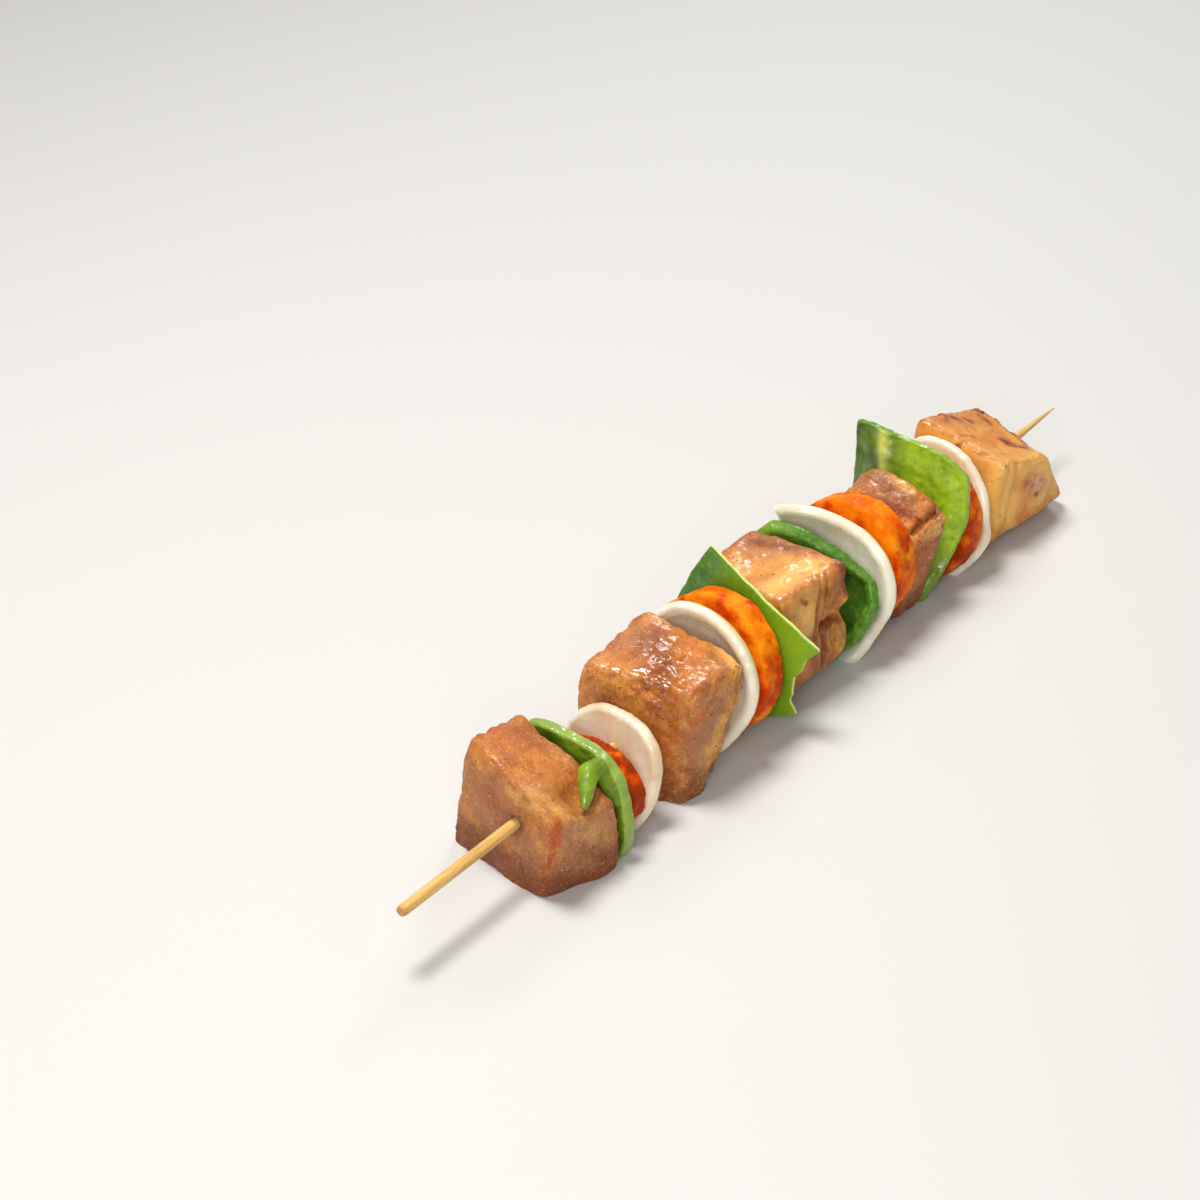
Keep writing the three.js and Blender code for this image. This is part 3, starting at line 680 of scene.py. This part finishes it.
def outline(corners, roundness):
    """The outline's distance from the stick at any angle, on a smooth curve through the corners."""
    knots = np.array(corners, float)
    ahead, behind = np.roll(knots, -1, 0), np.roll(knots, 1, 0)
    slope, next_slope = roundness * (ahead - behind), roundness * (np.roll(knots, -2, 0) - knots)
    t = np.linspace(0, 1, 60, endpoint=False)[:, None, None]
    curve = ((2 * knots - 2 * ahead + slope + next_slope) * t**3
             + (3 * ahead - 3 * knots - 2 * slope - next_slope) * t**2 + slope * t + knots)
    curve = curve.transpose(1, 0, 2).reshape(-1, 2)
    angle, distance = np.arctan2(curve[:, 1], curve[:, 0]), np.hypot(*curve.T)
    order = np.argsort(angle)
    return lambda wanted: np.interp(wanted, angle[order], distance[order], period=math.tau)


def slab(corners, roundness, thickness, rounding, depth, ragged, seed, taper=0.0, skin=1):
    """A slab round the stick before it leans: its points, quads, the share of its reach, and its side.

    It thins towards its rim by the taper, on the side that the skin isn't on.
    """
    half = thickness / 2
    flat = max(2 * (half - rounding), 0.01)
    length = math.pi * rounding + flat
    rows = max(8, round(length / ROW_STEP))
    reach, angle, step, quads = slab_grid(SLAB_STEPS, rows)
    walk = step / rows * length
    arc = math.pi / 2 * rounding
    turn = np.where(walk < arc + flat, math.pi / 2, (walk - flat) / rounding)
    turn = np.where(walk < arc, walk / rounding, turn)
    inset = rounding * (1 - np.sin(turn))
    side = np.where(walk < arc, -flat / 2 - rounding * np.cos(turn),
                    np.where(walk < arc + flat, walk - arc - flat / 2, flat / 2 - rounding * np.cos(turn)))
    direction = np.stack([np.zeros_like(angle), np.cos(angle), np.sin(angle)], -1)
    rim = outline(corners, roundness)(angle) + ragged * rough(direction * 12, 2.4, 3, seed)
    rim_side = side / half
    distance = reach * (rim - inset)
    side = side + skin * taper * half * (1 - skin * rim_side) * smooth(distance / rim, 0.7, 1.0)
    y, z = distance * direction[:, 1], distance * direction[:, 2]
    small = 0.05
    slope_y = (depth(y + small, z) - depth(y - small, z)) / (2 * small)
    slope_z = (depth(y, z + small) - depth(y, z - small)) / (2 * small)
    normal = np.stack([np.ones_like(y), -slope_y, -slope_z], -1)
    normal /= np.linalg.norm(normal, axis=1, keepdims=True)
    points = np.stack([depth(y, z), y, z], -1) + normal * side[:, None]
    return points, quads, distance / rim, rim_side


def warp(y, z, size, seed):
    """The unevenness of a slab, by the place on its face."""
    return noise(np.stack([y, z, 0 * y], -1), size, seed)


def leaning(points, at, lean, swing):
    """Turns an upright slab to its place: its top leans back, its right edge swings forward."""
    turn = Matrix.Rotation(math.radians(-swing), 3, "Z") @ Matrix.Rotation(math.radians(lean), 3, "Y")
    return points @ np.array(turn).T + (at, 0, 0)


PEPPERS = {
    "pepper_1": dict(
        at=-69.3, thickness=3.0, curl=1.5, bend=0, lean=3, seed=41,
        corners=[[-5.5, 8], [-11, 4.4], [-13.7, -2], [-14.6, -9], [-13, -14], [-9, -16], [6, -14], [15, -6],
            [13, 8], [3, 9]],
        rounding=0.9, yellow=(0.35, 0.2), edge=0.2, roundness=0.4,
        prong=[((-1.2, -6.8, 5.4), (-6, -6.9, 6.4), 2.2, 2.4),
            ((-6, -6.9, 6.4), (-12.3, -10.9, 3.5), 2.4, 1.0),
            ((-2.2, -7.2, 5.2), (-1.6, -10.6, -0.4), 2.0, 1.9)]),
    "pepper_2": dict(
        at=-13.8, thickness=3.0, curl=-1, bend=20, lean=8, seed=42, skin=-1,
        corners=[[9, 23], [-20.5, 9], [-18, 5.4], [-17.2, 2.6], [-15.8, 0.4], [-15.6, -3], [-15.2, -6],
            [-16.8, -8.4], [-14.5, -9.8], [-10, -12], [3, -13], [17, 6]],
        rounding=0.4, taper=0.68, yellow=(0.85, 0.2), edge=0.9, ripens=(16, -18)),
    "pepper_3": dict(
        at=18.2, thickness=3.8, curl=3.5, bend=40, lean=12, swing=-6, seed=43,
        corners=[[16.6, 9], [12, 14.6], [6, 14.4], [-5.5, 10.6], [-13.6, 6.2], [-16, 1.2], [-13, -8],
            [-6, -15.2], [7, -15.5], [14, -6]],
        rounding=1.8, yellow=(-0.15, 0.2), hollow=1.3, folds=((-12, -1), (-6, -14))),
    "pepper_4": dict(
        at=57.3, thickness=3.4, curl=3.5, bend=80, lean=20, seed=44,
        corners=[[17, 19.3], [3.5, 18.6], [-6.2, 17.5], [-12.6, 14], [-14, 3], [-12, -8.5], [-9.5, -17],
            [6, -16.5], [17, -3]],
        rounding=0.6, taper=0.6, yellow=(0.82, 0.15), rib=((9.6, 19), (6.4, 2))),
}
CURL_REACH = 16  # how far off the stick the curl is measured
VOXEL = 0.28  # of the skin that takes in the prong
PRONG_BALLS = 16


def fused(points, quads, prongs):
    """The mesh with rounded prongs grown out of it, under one skin."""
    body = mesh_of("prong", points, quads, {})
    for start, end, thick, thin in prongs:
        for share in np.linspace(0, 1, PRONG_BALLS):
            spot = np.array(start) * (1 - share) + np.array(end) * share
            bpy.ops.mesh.primitive_ico_sphere_add(
                subdivisions=3, radius=(thick + (thin - thick) * share) * MM, location=spot * MM + AXIS)
            body.select_set(True)
            bpy.context.view_layer.objects.active = body
            bpy.ops.object.join()
    skin = body.modifiers.new("skin", "REMESH")
    skin.mode, skin.voxel_size = "VOXEL", VOXEL * MM
    rubbed = body.modifiers.new("rubbed", "SMOOTH")
    rubbed.factor, rubbed.iterations = 0.5, 10
    run_modifiers(body)
    spots = np.empty(len(body.data.vertices) * 3)
    body.data.vertices.foreach_get("co", spots)
    loops = np.array([list(face.vertices) for face in body.data.polygons])
    bpy.data.objects.remove(body)
    return (spots.reshape(-1, 3) - AXIS) / MM, loops


def pepper_piece(at, thickness, curl, bend, lean, seed, corners, rounding, yellow, swing=0, skin=1, taper=0,
                 edge=0.0, ripens=(11, -2), prong=None, rib=None, folds=None, hollow=0.0, roundness=0.12):
    across = math.cos(math.radians(bend)), math.sin(math.radians(bend))
    base = lambda y, z: -curl * ((y * across[0] + z * across[1]) / CURL_REACH) ** 2
    depth = lambda y, z: base(y, z) + 0.35 * warp(y, z, 10, seed)
    points, quads, share, side = slab(
        corners, roundness, thickness, rounding, depth, 0.22, seed, taper, skin)
    if prong:
        points, quads = fused(points, quads, prong)
        side = np.clip((points[:, 0] - depth(*points.T[1:])) / (thickness / 2), -1, 1)
    inside = smooth(-skin * side, 0.6, 0.98)
    if hollow:  # the wall curls, so that its cut runs on into the inside
        open_at = 0.62 + 0.3 * smooth(points[:, 1], 2, -12)
        inside = inside * smooth(share, open_at + 0.1, open_at - 0.12)
        side = np.where(side < 0, np.minimum(side, -0.5) * (0.6 + 0.4 * inside), side)
    cut = 1 - smooth(np.abs(side), 0.9, 0.999)
    normal = outward(points, quads)
    flat = points * (0, 1, 1)
    lift = inside * (0.5 if hollow else 1) * (
        0.16 * noise(flat, 1.7, seed + 1) + 0.10 * noise(flat, 0.8, seed + 2))
    lift += cut * (0.10 * noise(points, 0.9, seed + 3) + 0.10 * noise(points, 2.0, seed + 4))
    lift += (1 - inside) * (1 - cut) * 0.05 * noise(flat, 3.0, seed + 5)
    ribbed = np.zeros(len(points))
    if rib:
        ribbed = inside * stroke(flat, (0, *rib[0], 0, *rib[1]), 1.5)
        lift += ribbed * (0.8 + 0.3 * noise(flat, 2, seed + 6))
    if folds:
        creased = stroke(flat, (0, *folds[0], 0, *folds[1]), 3)
        lift += (0.8 - 0.4 * inside) * creased * rough(flat, 2.2, 2, seed + 7)
    lift -= hollow * inside
    points = points + normal * lift[:, None]
    ripe = yellow[1] + (yellow[0] - yellow[1]) * smooth(points[:, 1], *ripens)
    # Lower down each piece turns a darker green: painted shade.
    ripe = ripe * (0.55 + 0.45 * smooth(points[:, 2], -15, 2)) + 0.25 * rough(points, 9, 2, seed + 8)
    masks = {"rib": ribbed, "side": side * skin, "edge": np.full(len(points), edge),
             "ripe": np.clip(ripe, 0, 1)}
    return leaning(points, at, lean, swing), quads, masks


pepper, tree, sockets, spot = moist_material(
    "Green pepper", IOR=1.38, Subsurface_Weight=0.10, Subsurface_Radius=(0.6, 1.0, 0.2),
    Subsurface_Scale=0.0012, Coat_Roughness=0.08)
fine = cloud(spot, 1.1, detail=3)
sponge = cloud(spot, 2.2, detail=4)
ripe = swayed(mask_of(tree, "ripe"), cloud(spot, 5, detail=3), 0.45)
ripe = between(ripe, 0.0, 1.0, smooth=False)
skin_green = blended(ripe, (52, 110, 24), (136, 176, 30))
skin_green = streaked(skin_green, (156, 196, 56), fine, 0.5, 0.75, 0.25)
flesh = blended(ripe, (44, 80, 18), (174, 206, 36))
flesh = streaked(flesh, blended(ripe, (32, 62, 14), (98, 148, 22)), sponge, 0.45, 0.7, 0.45)
cut_green = blended(ripe, (70, 122, 30), (150, 186, 42))
# The edge mask pales the cut towards yellow-white; on pepper_2 it is partly a painted highlight along the
# cut.
cut_green = blended(mask_of(tree, "edge"), cut_green, (230, 234, 140))
cut_green = streaked(cut_green, (150, 186, 62), fine, 0.4, 0.7, 0.3)
side_mask = mask_of(tree, "side")
green = blended(between(side_mask, -0.9, -0.99), skin_green, flesh)
cut_mask = times(between(side_mask, 0.9, 0.6), between(side_mask, -1.0, -0.9))
green = blended(cut_mask, green, cut_green)
green = blended(times(mask_of(tree, "rib"), 0.8), green, (218, 224, 104))
moistened(tree, sockets, spot, green, 3.0, 0.48)
bumped(tree, sockets, maths("ADD", sponge, times(fine, 0.5)), 0.08, 0.6)

for name, row in PEPPERS.items():
    thread(pepper_piece(**row), "pepper_piece", pepper, name, "pepper")


# ---- slices of carrot
# Four rounds sliced from a peeled carrot, 5 to 8 mm thick, with the flats that the peeler left. They are
# firm and moist and reddened by the marinade; a deeper red towards their foot is painted shade, and on
# carrot_1's top painted shadow. They lean with their neighbours on the stick.
CARROTS = {  # place, thickness, radius, squash, flats, middle, lean, swing, seed, red at its top and foot, stain and painted shade
    "carrot_1": (-63.8, 4.6, 13, 0.73, 9, (0.8, -5.2), 8, 0, 51, (1.0, 0.75)),
    "carrot_2": (-20, 6.6, 16, 1.02, 10, (0.8, 1), 9.7, 3, 52, (0.35, 0.6)),
    "carrot_3": (31.4, 7.8, 15.3, 1, 8, (0, 1.8), 10, -3, 53, (0.35, 0.55)),
    "carrot_4": (63.3, 6.4, 15, 1, 9, (0, -2), 16, 0, 54, (0.2, 0.95)),
}


def carrot_slice(at, thickness, radius, squash, flats, middle, lean, swing, seed, red):
    corners = [(middle[0] + radius * math.cos(math.tau * k / flats),
                middle[1] + radius * squash * math.sin(math.tau * k / flats)) for k in range(flats)]
    depth = lambda y, z: 0.25 * warp(y, z, 14, seed)
    points, quads, share, side = slab(corners, 0.4, thickness, 0.9, depth, 0.2, seed)
    rim = smooth(share, 0.955, 0.995)
    lift = rim * (0.26 * rough(points, 3.2, 3, seed + 1) + 0.05 * noise(points, 0.9, seed + 2))
    lift += (1 - rim) * (0.06 * rough(points, 1.8, 3, seed + 3) - 0.25 * smooth(share, 0.6, 0.2))
    points = raised(points, quads, lift)
    # The red deepens towards the foot as painted shade; carrot_1's is deepest at its top, a painted shadow.
    red_and_shade = red[1] + (red[0] - red[1]) * smooth(points[:, 2], -12, 13)
    masks = {"share": share, "red": np.clip(red_and_shade + 0.6 * rough(points, 5, 4, seed + 4), 0, 1)}
    return leaning(points, at, lean, swing), quads, masks


carrot, tree, sockets, spot = moist_material(
    "Carrot", IOR=1.38, Specular_IOR_Level=0.12, Coat_IOR=1.36, Coat_Roughness=0.1, Subsurface_Weight=0.14,
    Subsurface_Radius=(1.0, 0.3, 0.05), Subsurface_Scale=0.0014)
tint = cloud(spot, 5, detail=4)
orange = blended(between(tint, 0.35, 0.65), (236, 104, 0), (252, 146, 14))
reach = swayed(mask_of(tree, "share"), tint, 0.2)
core = between(reach, 0.36, 0.42, 0.5, 0.0)
orange = blended(core, orange, (250, 172, 50))
orange = streaked(orange, (254, 166, 50), cloud(spot, 0.8, detail=3), 0.55, 0.75, 0.25)
red_mask = mask_of(tree, "red")
for patch, mask, softness in (((206, 62, 0), red_mask, 0.6),
                              ((152, 54, 4), between(red_mask, 0.5, 1.2), 0.9)):
    orange = use(patches, Color=orange, Patch=linear(patch), Mask=mask, Place=spot, Size=2.5,
                 Softness=softness)["Color"]
moistened(tree, sockets, spot, orange, 1.8, 0.24)
bumped(tree, sockets, cloud(spot, 0.7, detail=3), 0.07, 0.7)

for name, row in CARROTS.items():
    thread(carrot_slice(*row), "carrot_slice", carrot, name, "carrot")


# ---- petals of onion
# Four single layers pulled from a quartered white onion, about 3 mm thick, bowed like the bulb. They are
# waxy and let light through, with veins that run from the root to the neck.
ONIONS = {  # place, thickness, bowl, lean, swing, seed, amount of painted shade, and the outline's corners
    "onion_1": (-56.5, 3.0, 2.8, 11, 0, 61, 0.5, (
        (-12, -2), (-10.6, 3), (-6.7, 6.6), (-1, 8), (6, 7.5), (12, 2), (12, -9), (4, -15.5), (-7, -17),
        (-11.6, -10))),
    "onion_2": (-26, 3.0, 4.5, 14, 0, 62, 0.16, (
        (-16.2, 3), (-14.5, 9.5), (-9.5, 15.5), (-2, 18.5), (6, 17), (14, 9), (15, -4), (7, -14),
        (-6, -15.5), (-13.4, -6.3))),
    "onion_3": (25, 3.0, 3, 10, -6, 63, 0.12, (
        (-16.4, 0), (-14.2, 8), (-8, 13.4), (1, 16), (11.6, 16.4), (13.4, 13.5), (13, -8), (2, -17),
        (-9, -17.3), (-14, -8))),
    "onion_4": (71.5, 2.6, 1.6, 16, 3, 64, 0.2, (
        (-14, -0.5), (-11.7, 5), (-5, 11), (2, 13), (9.5, 11.5), (14, 3), (11, -10), (1, -16.5),
        (-9.5, -17.5), (-16, -7))),
}
BOWL_REACH = 16  # how far off the stick the bowl's depth is measured
BULB_RADIUS = 34  # from the stick to where the petals' veins meet


def onion_petal(at, thickness, bowl, lean, swing, seed, painted_shade, corners):
    depth = lambda y, z: -bowl * (np.hypot(y, z) / BOWL_REACH) ** 4 + 0.3 * warp(y, z, 12, seed)
    points, quads, share, side = slab(corners, 0.45, thickness, 1.25, depth, 0.14, seed)
    fan = np.arctan2(points[:, 1], BULB_RADIUS - points[:, 2]) * 30
    veins = np.stack([fan, points[:, 2] * 0.06, side * 2], -1)
    face = smooth(np.abs(side), 0.85, 0.99)
    lift = face * 0.06 * noise(veins, 1.6, seed + 1) + 0.06 * rough(points, 2.6, 2, seed + 2)
    points = raised(points, quads, lift)
    masks = {"veins": veins, "outer": smooth(side, 0.2, 0.9) * smooth(share, 0.9, 0.99),
             "painted_shade": np.full(len(points), painted_shade)}
    return leaning(points, at, lean, swing), quads, masks


onion, tree, sockets, spot = moist_material(
    "Onion", IOR=1.42, Subsurface_Weight=0.4, Subsurface_Radius=(1.0, 0.85, 0.55), Subsurface_Scale=0.003,
    Coat_Roughness=0.12)
vein = cloud(mask_of(tree, "veins", "Vector"), 1.1, detail=3)
cloudy = between(cloud(spot, 7, detail=3), 0.35, 0.65)
white = blended(cloudy, (238, 226, 200), (252, 246, 228))
white = streaked(white, (222, 216, 172), vein, 0.5, 0.75, 0.3)
white = blended(times(mask_of(tree, "outer"), 0.7), white, (222, 206, 104))
# Brownish patches, strongest on onion_1, are painted shade.
shaded_white = use(patches, Color=white, Patch=linear((222, 168, 100)), Mask=mask_of(tree, "painted_shade"),
              Place=spot, Size=5.0, Softness=1.0)
moistened(tree, sockets, spot, blended(0.6, white, shaded_white["Color"]), 4.0, 0.75)
bumped(tree, sockets, vein, 0.05, 0.5)

for name, row in ONIONS.items():
    thread(onion_petal(*row), "onion_petal", onion, name, "onion")

bpy.data.objects.remove(THREADER)


# ---- flecks of spice
# Crumbs of ground pepper and charred marinade, 0.2 to 0.6 mm, that stuck to the pork on the grill.
SMALLEST_FLECK = (0.00012, 0.00010, 0.00006)  # half sizes, in metres
LARGEST_FLECK = (0.00034, 0.00022, 0.00012)
CLEAR_OF_FLOOR = -12  # none lie lower than this, in millimetres from the stick's axis

spice, tree, sockets, spot = moist_material("Spice", Roughness=0.5, IOR=1.45)
brown = blended(between(cloud(spot, 3), 0.4, 0.6), (60, 30, 14), (140, 62, 20))
tree.links.new(brown, sockets["Base Color"])

tree, given = geometry_group("Flecks", [
    ("Per square metre", "Float", 12000.0), ("Smallest", "Vector", SMALLEST_FLECK),
    ("Largest", "Vector", LARGEST_FLECK), ("Seed", "Int", 7)])
bare = node("GeometryNodeInputNamedAttribute", {"Name": "bare"}, tree, data_type="FLOAT")[0]
strewn = node("GeometryNodeDistributePointsOnFaces", {
    "Mesh": given["Geometry"], "Density": times(bare, given["Per square metre"]),
    "Seed": given["Seed"]}, distribute_method="RANDOM")
crumb = node("GeometryNodeMeshIcoSphere", {"Radius": 1.0, "Subdivisions": 2}, tree)[0]
size = node("FunctionNodeRandomValue", {
    0: given["Smallest"], 1: given["Largest"], "Seed": given["Seed"]}, data_type="FLOAT_VECTOR")[0]
flecks = node("GeometryNodeInstanceOnPoints", {
    "Points": strewn["Points"], "Instance": crumb, "Rotation": strewn["Rotation"], "Scale": size})[0]
close_group(tree, flecks, given["Material"])

start = np.cumsum([0] + [len(points) for points, quads in surfaces])
meat_points = np.concatenate([points for points, quads in surfaces])
base = mesh_of("spice_flecks", meat_points,
               np.concatenate([quads + first for first, (points, quads) in zip(start, surfaces)]),
               {"bare": (meat_points[:, 2] > CLEAR_OF_FLOOR) * 1.0})
mesh = base.data
bpy.data.objects.remove(base)
flecks = grow("spice_flecks", tree, spice, mesh)
flecks.data.shade_smooth()
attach(flecks, "root")


# ---- floor, light and camera
# A pale sweep under soft light from above and behind, seen along the stick from its blunt end.
bpy.ops.mesh.primitive_plane_add(size=8)
floor = bpy.context.object
floor.name = "floor"
paper, tree, sockets, spot = moist_material("Pale floor", Roughness=0.7)
sockets["Base Color"].default_value = linear((214, 213, 210))
floor.data.materials.append(paper)

LAMPS = (  # name, place, diameter, watts and colour
    ("key", (-0.12, 0.16, 0.75), 0.25, 5.3, (1, 0.975, 0.94)),
    ("back", (0.6, 0.25, 0.5), 0.25, 1.5, (1, 1, 1)),
    ("fill", (-0.5, -0.28, 0.35), 0.3, 1.5, (1, 0.98, 0.95)),
)
AIM = Vector((0, 0, 0.01))
for name, place, size, watts, colour in LAMPS:
    light = bpy.data.lights.new(name, "AREA")
    light.shape, light.size, light.energy, light.color = "DISK", size, watts, colour
    lamp = bpy.data.objects.new(name, light)
    lamp.location = place
    lamp.rotation_euler = (AIM - Vector(place)).to_track_quat("-Z", "Y").to_euler()
    bpy.context.collection.objects.link(lamp)

scene = bpy.context.scene
world = bpy.data.worlds.new("Studio")
scene.world = world
world.use_nodes = True
sky = world.node_tree.nodes["Background"].inputs
sky["Color"].default_value = (1, 1, 1, 1)
sky["Strength"].default_value = 0.24

LENS = 79.817
CAMERA_PLACE = np.array((-411.56, -276.64, 332.02))  # in millimetres, from the stick's middle
CAMERA_TURNS = ((-51.641, "Z"), (90 - 33.303, "X"), (-0.549, "Z"))  # its heading, its drop and its roll
camera = bpy.data.objects.new("camera", bpy.data.cameras.new("camera"))
bpy.context.collection.objects.link(camera)
camera.data.lens = LENS
camera.data.clip_start = 0.01
turn = Matrix.Identity(4)
for degrees, axis in CAMERA_TURNS:
    turn = turn @ Matrix.Rotation(math.radians(degrees), 4, axis)
camera.matrix_world = Matrix.Translation(CAMERA_PLACE * MM + AXIS) @ turn
scene.camera = camera
scene.view_settings.view_transform = "Standard"
